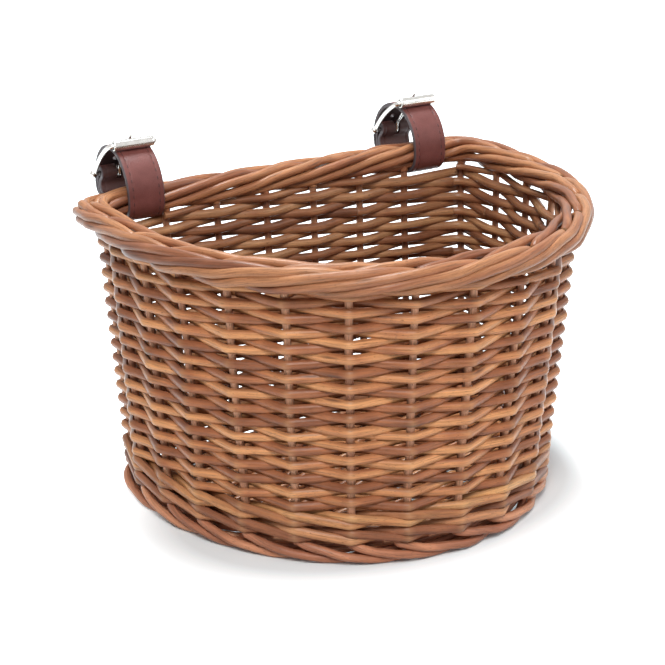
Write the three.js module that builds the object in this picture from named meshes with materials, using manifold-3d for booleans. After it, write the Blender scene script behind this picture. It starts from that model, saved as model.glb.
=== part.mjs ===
// A D-shaped wicker basket for a bicycle's handlebar, hung on two buckled leather straps.
// Millimetres, +Z up, +X along the handlebar, the flat back towards +Y and the round front towards -Y.
import * as THREE from "three";
import { mergeVertices } from "three/addons/utils/BufferGeometryUtils.js";
import Module from "manifold-3d";

const wasm = await Module();
wasm.setup();

// Top border: its centre line is a D with round back corners
const rimWidth = 233;
const rimDepth = 187;
const rimSide = 58;
const rimCorner = 17;
const rimHeight = 152;
const borderWide = 17;
const borderHigh = 13;
const borderStrands = 4;
const borderTurns = 6;
const borderSteps = 10;
const borderSides = 5;

// Foot border: a smaller D, set in from the rim by how far each wall leans
const sideLean = 8;
const backLean = 12;
const frontLean = 19;
const footSide = 27;
const footCorner = 17;
const footWide = 11;
const footHigh = 12;
const footStrands = 4;
const footTurns = 6;
const footSteps = 8;
const footSides = 5;
const footFlat = 0.5;

// Stakes: upright rods, one at each back corner, the rest spaced between
const stakeCount = 23;
const backBays = 7;
const strapBayShare = 0.169;
const stakeFootThick = 4.8;
const stakeRimThick = 4.2;
const stakeSides = 6;
const stakeInset = 3;

// Woven rods: rectangles with the rows stacked up the stakes
const weaverHigh = 3.4;
const weaverThick = 4;
const rowGap = 0.4;
const weaveGap = 0.45;
const seatGap = 0.35;
const waleRods = 2;
const waleTurns = 2;
const waleReach = 3;
const sidingRods = 6;
const endGap = 0.6;
const topRowReach = 2;

// Base: one rod woven from side to side over and under sticks
const baseRodWide = 3.4;
const baseRodHigh = 2.6;
const baseLift = 1;
const baseGap = 0.6;
const slantShare = 0.92;
const baseSticks = 5;
const stickThick = 4.4;
const stickSpreadShare = 0.664;
const stickSides = 6;
const stickRoom = 14;
const bendSteps = 4;

// Strap: one band that spirals round the border and the handlebar
const strapWidth = 20;
const strapThick = 2.4;
const strapGap = 0.4;
const strapSideGap = 0.8;
const loopRadius = 22;
const loopLift = 3;
const layerGap = 0.35;
const tailAngle = 48;
const foldLength = 12;
const slotDrop = 0.9;
const holeThick = 3.2;
const holePitch = 11;
const spareHoles = 3;
const gapShare = 0.75;
const bendStep = 13;

// Roller buckle: angles are measured at the loop's centre, from the back upwards
const heelAngle = 18;
const rollerAngle = 109;
const frameThick = 2.6;
const frameSideGap = 1.5;
const frameCorner = 1.5;
const frameBow = 2;
const rollerThick = 5.5;
const rollerBoreGap = 0.3;
const rollerEndGap = 0.3;
const prongWide = 2.4;
const prongThick = 2.2;
const prongTipThick = 1.5;
const prongReach = 3.5;
const prongEyeWall = 1.4;
const pinGap = 0.3;
const frameRock = 4;
const prongLift = 6;
const roundSides = 12;

const overrun = 20;
const turn = 2 * Math.PI;
const up = new THREE.Vector3(0, 0, 1);
const across = new THREE.Vector3(1, 0, 0);

// Shapes

// A material of its own for each mesh.
function finish(color, roughness, metalness) {
  return new THREE.MeshStandardMaterial({ color, roughness, metalness });
}

const willow = () => finish(0xb97d50, 0.55, 0);
const darkWillow = () => finish(0x9c6640, 0.6, 0);
const paleWillow = () => finish(0xc79a62, 0.55, 0);
const leather = () => finish(0x734641, 0.6, 0);
const nickel = () => finish(0xd2d0cc, 0.2, 1);

function meshOf(name, geometry, material) {
  const mesh = new THREE.Mesh(geometry, material);
  mesh.name = name;
  return mesh;
}

// Six times the volume inside a geometry: the sum of its triangles' triple products.
function signedVolume(geometry) {
  const points = geometry.getAttribute("position");
  const index = geometry.index.array;
  const [a, b, c] = [new THREE.Vector3(), new THREE.Vector3(), new THREE.Vector3()];
  let sum = 0;
  for (let i = 0; i < index.length; i += 3) {
    a.fromBufferAttribute(points, index[i]);
    b.fromBufferAttribute(points, index[i + 1]);
    c.fromBufferAttribute(points, index[i + 2]);
    sum += a.dot(b.cross(c));
  }
  return sum;
}

// A skin over rings of points that have equal counts. An open run gets a flat lid at each end.
function skin(rings, closed) {
  const sides = rings[0].length;
  const faces = [];
  const last = closed ? rings.length : rings.length - 1;
  for (let i = 0; i < last; i++) {
    for (let j = 0; j < sides; j++) {
      const a = i * sides + j;
      const b = i * sides + ((j + 1) % sides);
      const c = ((i + 1) % rings.length) * sides + j;
      const d = ((i + 1) % rings.length) * sides + ((j + 1) % sides);
      faces.push(a, c, b, b, c, d);
    }
  }
  const end = (rings.length - 1) * sides;
  for (let j = 1; j < sides - 1 && !closed; j++) {
    faces.push(0, j, j + 1);
    faces.push(end, end + j + 1, end + j);
  }
  const geometry = new THREE.BufferGeometry().setFromPoints(rings.flat());
  geometry.setIndex(faces);
  if (signedVolume(geometry) < 0) geometry.setIndex(faces.toReversed());
  return geometry;
}

// A ring of points round a centre, on an ellipse between two directions.
function ring(centre, first, second, firstRadius, secondRadius, sides, phase) {
  return Array.from({ length: sides }, (_, i) => {
    const angle = phase + (turn * i) / sides;
    return centre
      .clone()
      .addScaledVector(first, firstRadius * Math.cos(angle))
      .addScaledVector(second, secondRadius * Math.sin(angle));
  });
}

function toSolid(geometry) {
  const plain = geometry.clone();
  plain.deleteAttribute("normal");
  plain.deleteAttribute("uv");
  const merged = mergeVertices(plain);
  return new wasm.Manifold(
    new wasm.Mesh({
      numProp: 3,
      vertProperties: merged.getAttribute("position").array,
      triVerts: new Uint32Array(merged.index.array),
    }),
  );
}

function toGeometry(solid) {
  const { vertProperties, triVerts } = solid.getMesh();
  const geometry = new THREE.BufferGeometry();
  geometry.setAttribute("position", new THREE.BufferAttribute(vertProperties, 3));
  return geometry.setIndex(new THREE.BufferAttribute(triVerts, 1));
}

// A flat shape drawn in Y and Z, given a width along X with X = 0 in its middle.
function slabAcross(shape, width) {
  const settings = { depth: width, bevelEnabled: false, curveSegments: roundSides };
  const geometry = new THREE.ExtrudeGeometry(shape, settings);
  const turned = new THREE.Matrix4().makeBasis(new THREE.Vector3(0, 1, 0), up, across);
  return geometry.translate(0, 0, -width / 2).applyMatrix4(turned);
}

// The walls' outlines

// A D seen from above, counter-clockwise from the middle of its right back corner.
function dOutline(width, depth, side, corner, back) {
  const half = width / 2;
  const path = new THREE.Path();
  const eighth = turn / 8;
  path.absarc(half - corner, back - corner, corner, eighth, 2 * eighth, false);
  path.lineTo(corner - half, back);
  path.absarc(corner - half, back - corner, corner, 2 * eighth, 4 * eighth, false);
  path.lineTo(-half, back - side);
  path.absellipse(0, back - side, half, depth - side, turn / 2, turn, false, 0);
  path.lineTo(half, back - corner);
  path.absarc(half - corner, back - corner, corner, 0, eighth, false);
  const backLength = width - 2 * corner + 2 * eighth * corner;
  return { path, backShare: backLength / path.getLength() };
}

const rim = dOutline(rimWidth, rimDepth, rimSide, rimCorner, 0);
const footWidth = rimWidth - 2 * sideLean;
const footDepth = rimDepth - backLean - frontLean;
const foot = dOutline(footWidth, footDepth, footSide, footCorner, -backLean);
const stakeTops = dOutline(
  rimWidth - 2 * stakeInset,
  rimDepth - 2 * stakeInset,
  rimSide - stakeInset,
  rimCorner - stakeInset,
  -stakeInset,
);

// The place of a bay's start as a share of an outline's length. The two strap bays lie at the back's ends.
function shareOf(outline, bay) {
  const place = ((bay % stakeCount) + stakeCount) % stakeCount;
  if (place >= backBays) {
    const along = (place - backBays) / (stakeCount - backBays);
    return outline.backShare + along * (1 - outline.backShare);
  }
  const innerShare = (1 - 2 * strapBayShare) / (backBays - 2);
  const inner = THREE.MathUtils.clamp(place - 1, 0, backBays - 2);
  const outer = Math.min(place, 1) + Math.max(place - backBays + 1, 0);
  return outline.backShare * (inner * innerShare + outer * strapBayShare);
}

function pointOn(outline, share, height) {
  const flat = outline.path.getPoint(share);
  return new THREE.Vector3(flat.x, flat.y, height);
}

function outwardOn(outline, share) {
  const tangent = outline.path.getTangent(share);
  return new THREE.Vector3(tangent.y, -tangent.x, 0);
}

const borderUnder = rimHeight - borderHigh / 2;
const footTop = footHigh - footFlat;
const stakeFoot = footTop + seatGap;
const stakeTop = borderUnder - seatGap;

// A point on the axis of a stake, at any height, by mixing the two outlines.
function stakePoint(bay, height) {
  const low = pointOn(foot, shareOf(foot, bay), 0);
  const high = pointOn(stakeTops, shareOf(stakeTops, bay), rimHeight);
  return low.lerp(high, height / rimHeight);
}

function stakeRadius(height) {
  const along = (height - stakeFoot) / (stakeTop - stakeFoot);
  return THREE.MathUtils.lerp(stakeFootThick, stakeRimThick, along) / 2;
}

function makeStake(bay) {
  const low = stakePoint(bay, stakeFoot);
  const high = stakePoint(bay, stakeTop);
  const length = low.distanceTo(high);
  const geometry = new THREE.CylinderGeometry(stakeRimThick / 2, stakeFootThick / 2, length, stakeSides);
  const mesh = meshOf("stake_" + (bay + 1), geometry, darkWillow());
  mesh.position.copy(low).lerp(high, 1 / 2);
  mesh.quaternion.setFromUnitVectors(new THREE.Vector3(0, 1, 0), high.sub(low).normalize());
  return mesh;
}

// Borders: strands that twist round the outline

// The strands lie side by side round the twist. Their radius follows from the gap left between neighbours
// where a straight step cuts the corner of the twist.
function makeBorder(name, outline, height, wide, high, strands, turns, steps, sides, hand) {
  const spread = 2 * Math.sin(turn / strands / 2) * Math.cos(turn / steps / 2);
  const strandShare = (spread - seatGap / (high / 2)) / (2 + spread);
  const [strandWide, strandHigh] = [(strandShare * wide) / 2, (strandShare * high) / 2];
  const count = turns * steps;
  return Array.from({ length: strands }, (_, strand) => {
    const rings = [];
    for (let i = 0; i < count; i++) {
      const twist = turn * ((hand * i) / steps + strand / strands);
      const outward = outwardOn(outline, i / count);
      const centre = pointOn(outline, i / count, height)
        .addScaledVector(outward, (wide / 2 - strandWide) * Math.cos(twist))
        .addScaledVector(up, (high / 2 - strandHigh) * Math.sin(twist));
      rings.push(ring(centre, outward, up, strandWide, strandHigh, sides, turn / 4));
    }
    return { name: name + "_" + (strand + 1), geometry: skin(rings, true) };
  });
}

// Weaving: rods that pass in front of and behind the stakes

// The bends of a rod at the stakes. Each stands clear of its stake by more where the rod leaves at a slant,
// which the passes work out from the bends on either side.
function bends(first, last, sideOf, heightOf) {
  const places = [];
  for (let bay = first - 1; bay <= last + 1; bay++) {
    const axis = stakePoint(bay, heightOf(bay));
    const outward = outwardOn(stakeTops, shareOf(stakeTops, bay)).multiplyScalar(sideOf(bay));
    places.push({ axis, outward, clear: stakeRadius(heightOf(bay)) + weaveGap, point: axis.clone() });
  }
  for (let pass = 0; pass < 3; pass++) {
    const slants = places.map((place, i) => {
      const near = [places[i - 1], places[i + 1]].filter(Boolean);
      return Math.min(...near.map((other) => {
        const way = other.point.clone().sub(place.point).setZ(0);
        return way.length() > 0 ? Math.sqrt(1 - (way.dot(place.outward) / way.length()) ** 2) : 1;
      }));
    });
    places.forEach((place, i) => {
      const reach = weaverThick / 2 + place.clear / slants[i];
      place.point = place.axis.clone().addScaledVector(place.outward, reach);
    });
  }
  return places;
}

// One rod from a bay to another, with its ends cut short or run past by a length.
function makeWeaver(first, last, past, sideOf, heightOf) {
  const places = bends(first, last, sideOf, heightOf);
  const bayLength = stakePoint(first, heightOf(first)).distanceTo(stakePoint(first + 1, heightOf(first)));
  const share = past / bayLength;
  const stops = [first - share];
  for (let bay = first; bay <= last; bay++) {
    if (bay > first - share && bay < last + share) stops.push(bay);
  }
  stops.push(last + share);
  const rings = stops.map((stop) => {
    const low = Math.min(Math.floor(stop), last);
    const from = places[low - first + 1];
    const to = places[low - first + 2];
    const mix = stop - low;
    const centre = from.point.clone().lerp(to.point, mix);
    const outward = outwardOn(stakeTops, shareOf(stakeTops, stop));
    const corner = Math.SQRT1_2;
    return ring(centre, outward, up, weaverThick / 2 / corner, weaverHigh / 2 / corner, 4, turn / 8);
  });
  return skin(rings, false);
}

const rowPitch = weaverHigh + rowGap;
const strapInner = borderWide / 2 + strapGap;
const slotFloor = rimHeight - strapInner - strapThick - slotDrop;
const spiralStart = footTop + seatGap + weaverHigh / 2;
const spiralSteps = Math.floor(((slotFloor - weaverHigh / 2 - spiralStart) / rowPitch) * stakeCount);
const spiralHeight = (step) => spiralStart + (rowPitch * step) / stakeCount;
const inAndOut = (step) => (step % 2 === 0 ? 1 : -1);
const frontOfTwo = (step) => ((step + waleReach) % waleReach === 0 ? -1 : 1);

function makeSpirals() {
  const waleSteps = waleTurns * stakeCount;
  const sidingStart = waleRods * waleSteps;
  const sidingSteps = Math.floor((spiralSteps - sidingStart) / sidingRods);
  const meshes = [];
  for (let i = 0; i < waleRods; i++) {
    const rod = makeWeaver(i * waleSteps, (i + 1) * waleSteps, -endGap, frontOfTwo, spiralHeight);
    meshes.push(meshOf("bottom_wale_" + (i + 1), rod, paleWillow()));
  }
  for (let i = 0; i < sidingRods; i++) {
    const start = sidingStart + i * sidingSteps;
    const rod = makeWeaver(start, start + sidingSteps, -endGap, inAndOut, spiralHeight);
    meshes.push(meshOf("siding_weaver_" + (i + 1), rod, willow()));
  }
  return [...meshes, ...makeTopRow(sidingStart + sidingRods * sidingSteps)];
}

// The last row stops short of the two strap bays, which leaves the straps their slots. It passes each stake
// on the other side from the spiral below, which ends at the given step.
function makeTopRow(spiralEnd) {
  const height = () => slotFloor + rowGap + weaverHigh / 2;
  const otherSide = (bay) => -inAndOut(spiralEnd - ((spiralEnd - bay) % stakeCount));
  const frontRod = makeWeaver(backBays, stakeCount, topRowReach, otherSide, height);
  const backRod = makeWeaver(1, backBays - 1, topRowReach, otherSide, height);
  return [meshOf("top_row_front", frontRod, willow()), meshOf("top_row_back", backRod, willow())];
}

// Base

const baseInset = footWide / 2 + baseGap;
const baseBack = -backLean - baseInset;
const baseHalf = footWidth / 2 - baseInset;
const baseFront = footDepth - footSide - baseInset;
const ovalStart = baseBack - footSide + baseInset;
const stickClear = baseRodHigh / 2 + (stickThick / 2 + seatGap) / slantShare;
const baseMiddle = baseLift + stickClear + baseRodHigh / 2;

// How far the base reaches to each side at a place from back to front.
function baseReach(y) {
  const corner = footCorner - baseInset;
  const inCorner = Math.max(0, y - (baseBack - corner));
  if (inCorner > 0) return baseHalf - corner + Math.sqrt(Math.max(0, corner ** 2 - inCorner ** 2));
  const inOval = Math.max(0, ovalStart - y);
  return baseHalf * Math.sqrt(Math.max(0, 1 - (inOval / baseFront) ** 2));
}

// How far forward a stick reaches, with room left at its side for the rod's turns.
function stickFront(x) {
  return ovalStart - baseFront * Math.sqrt(1 - ((Math.abs(x) + stickRoom) / baseHalf) ** 2);
}

// The rod's rows alternate over and under the sticks. Each turn stays inside both of its rows' reach.
function makeBaseRod(sticks) {
  const pitch = baseRodWide + rowGap;
  const half = baseRodWide / 2;
  const rows = [];
  for (let y = baseBack - half; baseReach(y - half) > stickRoom; y -= pitch) rows.push(y);
  const ends = rows.slice(1).map((y, i) => {
    const reach = Math.min(baseReach(rows[i] + half), baseReach(y - half));
    return (i % 2 === 0 ? 1 : -1) * (reach - pitch / 2 - half);
  });
  ends.push(-ends.at(-1));
  const rings = [];
  const addRing = (x, y, z, way) => {
    const leftward = new THREE.Vector3(-Math.sin(way), Math.cos(way), 0);
    const [wide, high] = [half / Math.SQRT1_2, baseRodHigh / 2 / Math.SQRT1_2];
    rings.push(ring(new THREE.Vector3(x, y, z), leftward, up, wide, high, 4, turn / 8));
  };
  addRing(-ends[0], rows[0], baseMiddle, 0);
  rows.forEach((y, i) => {
    const way = i % 2 === 0 ? 1 : -1;
    const heading = way > 0 ? 0 : turn / 2;
    const crossed = sticks.filter((x) => y + half > stickFront(x));
    (way > 0 ? crossed : crossed.toReversed()).forEach((x) => {
      const side = (i + sticks.indexOf(x)) % 2 === 0 ? 1 : -1;
      addRing(x, y, baseMiddle + side * stickClear, heading);
    });
    for (let step = 0; step <= (i < rows.length - 1 ? bendSteps : 0); step++) {
      const swing = (turn * step) / 2 / bendSteps;
      const x = ends[i] + (way * pitch * Math.sin(swing)) / 2;
      const turned = y - (pitch * (1 - Math.cos(swing))) / 2;
      addRing(x, turned, baseMiddle, heading - way * swing);
    }
  });
  return skin(rings, false);
}

function makeBase() {
  const pitch = (2 * baseHalf * stickSpreadShare) / (baseSticks - 1);
  const sticks = Array.from({ length: baseSticks }, (_, i) => (i - (baseSticks - 1) / 2) * pitch);
  const meshes = sticks.map((x, i) => {
    const [near, far] = [baseBack - stickThick / 2, stickFront(x)];
    const stick = new THREE.CylinderGeometry(stickThick / 2, stickThick / 2, near - far, stickSides);
    const mesh = meshOf("base_stick_" + (i + 1), stick, darkWillow());
    mesh.position.set(x, (near + far) / 2, baseMiddle);
    return mesh;
  });
  return [meshOf("base_weave", makeBaseRod(sticks), willow()), ...meshes];
}

// Straps: places in the loop's own plane, Y to the back and Z up, from the border's centre line

const bendRadius = strapInner + strapThick / 2;
const layerStep = strapThick + layerGap;
const loopCentre = new THREE.Vector2(loopRadius - bendRadius, loopLift);
const innerRadius = loopRadius - layerStep;
const lowCentre = new THREE.Vector2(loopCentre.x + innerRadius - bendRadius - loopLift, loopLift);
const lowRadius = bendRadius + loopLift;
const eyeInner = frameThick / 2 + pinGap;
const heelRadius = innerRadius + strapThick / 2 - strapThick - eyeInner;
const rollerRadius = loopRadius + strapThick / 2 + layerGap + rollerThick / 2;

function polar(centre, radius, degrees) {
  const angle = THREE.MathUtils.degToRad(degrees);
  return new THREE.Vector2(centre.x + radius * Math.cos(angle), centre.y + radius * Math.sin(angle));
}

function arcPoints(centre, radius, from, to) {
  const steps = Math.max(1, Math.ceil(Math.abs(to - from) / bendStep));
  const angleAt = (i) => from + ((to - from) * i) / steps;
  return Array.from({ length: steps + 1 }, (_, i) => polar(centre, radius, angleAt(i)));
}

const heelPlace = polar(loopCentre, heelRadius, heelAngle);
const rollerPlace = polar(loopCentre, rollerRadius, rollerAngle);
const frameLength = heelPlace.distanceTo(rollerPlace);
const frameWay = rollerPlace.clone().sub(heelPlace).angle();
const prongAngle = frameWay - Math.asin((rollerThick / 2 + pinGap + prongThick / 2) / frameLength);
const heelTurn = THREE.MathUtils.degToRad(heelAngle);
const usedHole = prongAngle - Math.asin((heelRadius * Math.sin(prongAngle - heelTurn)) / loopRadius);

// The outline of a bent band: its centre line moved half a thickness to each side.
function bandShape(line, thick) {
  const sideways = line.map((point, i) => {
    const before = line[Math.max(i - 1, 0)];
    const after = line[Math.min(i + 1, line.length - 1)];
    const way = after.clone().sub(before).normalize();
    return new THREE.Vector2(-way.y, way.x).multiplyScalar(thick / 2);
  });
  const left = line.map((point, i) => point.clone().add(sideways[i]));
  const right = line.map((point, i) => point.clone().sub(sideways[i]));
  return new THREE.Shape([...left, ...right.reverse()]);
}

// What the prong sweeps inside the strap: a round eye and a wedge as wide as its whole lift.
function prongRoom() {
  const wide = prongWide + 2 * pinGap;
  const side = prongThick / 2 + pinGap;
  const length = frameLength + prongReach + prongThick;
  const lift = THREE.MathUtils.degToRad(frameRock + prongLift);
  const eye = new THREE.Shape().absarc(0, 0, eyeInner + prongEyeWall + pinGap, 0, turn, false);
  const far = new THREE.Vector2(length, -side).rotateAround(new THREE.Vector2(), -lift);
  const near = new THREE.Vector2(0, -side).rotateAround(new THREE.Vector2(), -lift);
  const wedge = new THREE.Shape([
    new THREE.Vector2(0, side),
    near,
    far,
    new THREE.Vector2(length, side),
  ]);
  const both = toSolid(slabAcross(eye, wide)).add(toSolid(slabAcross(wedge, wide)));
  return toSolid(toGeometry(both).rotateX(prongAngle).translate(0, heelPlace.x, heelPlace.y));
}

function makeStrap() {
  const line = [
    ...arcPoints(loopCentre, innerRadius, heelAngle, 0),
    ...arcPoints(lowCentre, lowRadius, 0, -90).slice(1),
    ...arcPoints(new THREE.Vector2(), bendRadius, -90, -180),
    ...arcPoints(loopCentre, loopRadius, 180, 0),
    ...arcPoints(lowCentre, lowRadius + layerStep, 0, -tailAngle).slice(1),
  ];
  let strap = toSolid(slabAcross(bandShape(line, strapThick), strapWidth));
  const eye = new THREE.Shape().absarc(heelPlace.x, heelPlace.y, eyeInner + strapThick, 0, turn, false);
  strap = strap.add(toSolid(slabAcross(eye, strapWidth)));
  // The band's end comes back from the eye and is sewn down inside.
  const sewnAngle = heelAngle - THREE.MathUtils.radToDeg(foldLength / innerRadius);
  const fold = [
    polar(loopCentre, heelRadius - eyeInner - strapThick / 2, heelAngle),
    polar(loopCentre, innerRadius - strapThick, sewnAngle),
    polar(loopCentre, innerRadius - strapThick, sewnAngle - bendStep),
  ];
  strap = strap.add(toSolid(slabAcross(bandShape(fold, strapThick + layerGap), strapWidth)));
  const bore = new THREE.Shape().absarc(heelPlace.x, heelPlace.y, eyeInner, 0, turn, false);
  strap = strap.subtract(toSolid(slabAcross(bore, strapWidth + overrun)));
  strap = strap.subtract(prongRoom());
  // Spare holes run on from the prong's towards the tail. They pierce the outer layer alone.
  for (let i = 1; i <= spareHoles; i++) {
    const angle = usedHole - (i * holePitch) / loopRadius;
    const radius = loopRadius + strapThick / 2 - gapShare * layerGap;
    const place = polar(loopCentre, radius, THREE.MathUtils.radToDeg(angle));
    const punch = new THREE.CylinderGeometry(holeThick / 2, holeThick / 2, 2 * strapThick, stakeSides);
    punch.rotateX(angle).translate(0, place.x, place.y);
    strap = strap.subtract(toSolid(punch));
  }
  return toGeometry(strap);
}

// The wire frame, in its own plane: X across, and along from the heel bar to the roller's bar.
function makeFrame() {
  const side = strapWidth / 2 + frameSideGap + frameThick / 2;
  const along = new THREE.Vector3(0, Math.cos(frameWay), Math.sin(frameWay));
  const outward = new THREE.Vector3(0, along.z, -along.y);
  const corners = [
    [side, 0],
    [side, frameLength],
    [-side, frameLength],
    [-side, 0],
  ];
  const flat = [];
  const third = frameLength / 3;
  corners.forEach(([x, y], i) => {
    const inX = x - Math.sign(x) * frameCorner;
    const inY = y === 0 ? frameCorner : frameLength - frameCorner;
    const centre = new THREE.Vector2(inX, inY);
    const start = (i - 1) * 90;
    flat.push(...[0, 45, 90].map((step) => polar(centre, frameCorner, start + step)));
    if (i === 0) flat.push(new THREE.Vector2(side, third), new THREE.Vector2(side, 2 * third));
    if (i === 2) flat.push(new THREE.Vector2(-side, 2 * third), new THREE.Vector2(-side, third));
  });
  const centres = flat.map(({ x, y }) => {
    const bow = (4 * frameBow * y * (frameLength - y)) / frameLength ** 2;
    const heel = new THREE.Vector3(x, heelPlace.x, heelPlace.y);
    return heel.addScaledVector(along, y).addScaledVector(outward, bow);
  });
  const rings = centres.map((centre, i) => {
    const after = centres[(i + 1) % centres.length];
    const before = centres[(i + centres.length - 1) % centres.length];
    const way = after.clone().sub(before).normalize();
    const inward = way.clone().cross(outward).normalize();
    const normal = inward.clone().cross(way);
    return ring(centre, inward, normal, frameThick / 2, frameThick / 2, stakeSides, 0);
  });
  return skin(rings, true);
}

function makeRoller() {
  const bore = frameThick / 2 + rollerBoreGap;
  const half = strapWidth / 2 + frameSideGap - rollerEndGap;
  const profile = [
    new THREE.Vector2(bore, -half),
    new THREE.Vector2(rollerThick / 2, -half),
    new THREE.Vector2(rollerThick / 2, half),
    new THREE.Vector2(bore, half),
    new THREE.Vector2(bore, -half),
  ];
  return new THREE.LatheGeometry(profile, roundSides).rotateZ(-turn / 4);
}

function makeProng() {
  const outer = eyeInner + prongEyeWall;
  const meet = Math.asin(prongThick / 2 / outer);
  const tip = frameLength + prongReach;
  const shape = new THREE.Shape();
  shape.absarc(0, 0, outer, meet, turn - meet, false);
  shape.lineTo(tip, -prongTipThick / 2);
  shape.lineTo(tip + prongTipThick / 2, 0);
  shape.lineTo(tip, prongTipThick / 2);
  shape.holes.push(new THREE.Path().absarc(0, 0, eyeInner, 0, turn, true));
  return slabAcross(shape, prongWide).rotateX(prongAngle);
}

// One side's strap and buckle, centred in its bay just outside the bay's inner stake.
function makeStrapSet(side, way) {
  const inner = stakePoint(1, slotFloor).x + stakeFootThick / 2;
  const set = new THREE.Group();
  set.position.set(way * (inner + strapSideGap + strapWidth / 2), 0, rimHeight);
  set.add(meshOf("strap_" + side, makeStrap(), leather()));
  set.add(meshOf("buckle_frame_" + side, makeFrame(), nickel()));
  const roller = meshOf("buckle_roller_" + side, makeRoller(), nickel());
  roller.position.set(0, rollerPlace.x, rollerPlace.y);
  set.add(roller);
  const prong = meshOf("buckle_prong_" + side, makeProng(), nickel());
  prong.position.set(0, heelPlace.x, heelPlace.y);
  set.add(prong);
  return set;
}

// Assembly

const basket = new THREE.Group();

const topTwist = makeBorder(
  "top_border",
  rim,
  rimHeight,
  borderWide,
  borderHigh,
  borderStrands,
  borderTurns,
  borderSteps,
  borderSides,
  1,
);
topTwist.forEach(({ name, geometry }) => basket.add(meshOf(name, geometry, willow())));

// The foot's strands are cut flat where they stand on the ground.
const footTwist = makeBorder(
  "foot_border",
  foot,
  footHigh / 2 - footFlat,
  footWide,
  footHigh,
  footStrands,
  footTurns,
  footSteps,
  footSides,
  -1,
);
const ground = new THREE.BoxGeometry(2 * rimWidth, 2 * rimDepth, overrun);
ground.translate(0, -rimDepth / 2, -overrun / 2);
footTwist.forEach(({ name, geometry }) => {
  const cut = toGeometry(toSolid(geometry).subtract(toSolid(ground)));
  basket.add(meshOf(name, cut, paleWillow()));
});

for (let bay = 0; bay < stakeCount; bay++) basket.add(makeStake(bay));
basket.add(...makeSpirals(), ...makeBase());
basket.add(makeStrapSet("right", 1), makeStrapSet("left", -1));

// The origin is under the middle of the whole basket.
const bounds = new THREE.Box3().setFromObject(basket, true);
const middle = bounds.getCenter(new THREE.Vector3());
basket.position.set(-middle.x, -middle.y, -bounds.min.z);

export default basket;
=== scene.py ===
import math
import bpy
import numpy as np
from mathutils import Matrix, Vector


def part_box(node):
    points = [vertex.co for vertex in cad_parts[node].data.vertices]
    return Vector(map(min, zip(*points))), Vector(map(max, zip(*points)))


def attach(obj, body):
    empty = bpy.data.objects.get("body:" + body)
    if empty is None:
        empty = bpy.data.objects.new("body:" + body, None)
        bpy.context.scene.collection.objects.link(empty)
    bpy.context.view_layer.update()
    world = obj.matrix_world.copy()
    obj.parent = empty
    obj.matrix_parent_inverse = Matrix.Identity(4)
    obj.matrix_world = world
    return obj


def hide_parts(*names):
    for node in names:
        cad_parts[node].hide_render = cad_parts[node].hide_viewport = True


# A D-shaped willow basket for a bicycle's handlebar, held by two buckled leather straps.
# Lengths are millimetres until toMetres; the frame's X runs along the handlebar and -Y is the round front.
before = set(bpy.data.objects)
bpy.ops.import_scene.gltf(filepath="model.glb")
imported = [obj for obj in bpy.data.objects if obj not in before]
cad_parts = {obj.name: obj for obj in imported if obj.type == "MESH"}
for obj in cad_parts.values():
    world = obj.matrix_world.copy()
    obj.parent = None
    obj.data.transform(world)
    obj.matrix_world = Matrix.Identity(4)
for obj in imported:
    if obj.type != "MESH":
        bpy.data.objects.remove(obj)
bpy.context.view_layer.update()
toMetres = 0.001
fullTurn = 2 * math.pi
rng = np.random.default_rng(23)
up = np.array([0.0, 0.0, 1.0])
shift = np.array([0.0596, 79.987, 0.0])  # from the rim's back middle to the frame's origin


# Shapes: everything is a grid of points

def unit(vectors):
    return vectors / np.maximum(np.linalg.norm(vectors, axis=-1, keepdims=True), 1e-12)


# The length run along a path, at each of its points.
def runOf(points):
    return np.concatenate([[0], np.cumsum(np.linalg.norm(np.diff(points, axis=0), axis=1))])


# Rows of a table read off at places between its own.
def rowsAt(places, known, table):
    return np.stack([np.interp(places, known, column) for column in table.T], -1)


# A path through control points: each span is the cubic that leaves a point towards the next but one.
def throughPoints(points, perSpan):
    points = np.asarray(points, float)
    padded = np.concatenate([2 * points[:1] - points[1:2], points, 2 * points[-1:] - points[-2:-1]])
    t = (np.arange(perSpan) / perSpan)[None, :, None]
    a, b, c, d = (padded[i:len(padded) - 3 + i][:, None, :] for i in range(4))
    spans = 0.5 * (2 * b + (c - a) * t + (2 * a - 5 * b + 4 * c - d) * t ** 2 + (3 * b - a - 3 * c + d) * t ** 3)
    return np.concatenate([spans.reshape(-1, points.shape[1]), points[-1:]])


# The quads between the rings of a sleeve, ring by ring. A closed one joins its last ring to its first.
def ringQuads(rows, sides, closed=False):
    row = (np.arange(rows if closed else rows - 1) * sides)[:, None]
    nextRow = (row + sides) % (rows * sides)
    j = np.arange(sides)[None]
    k = (j + 1) % sides
    return np.stack([row + j, nextRow + j, nextRow + k, row + k], -1).reshape(-1, 4)


rodEnd = dict(bevel=0.12, narrow=0.86)
noTris = np.zeros((0, 3), int)


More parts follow.
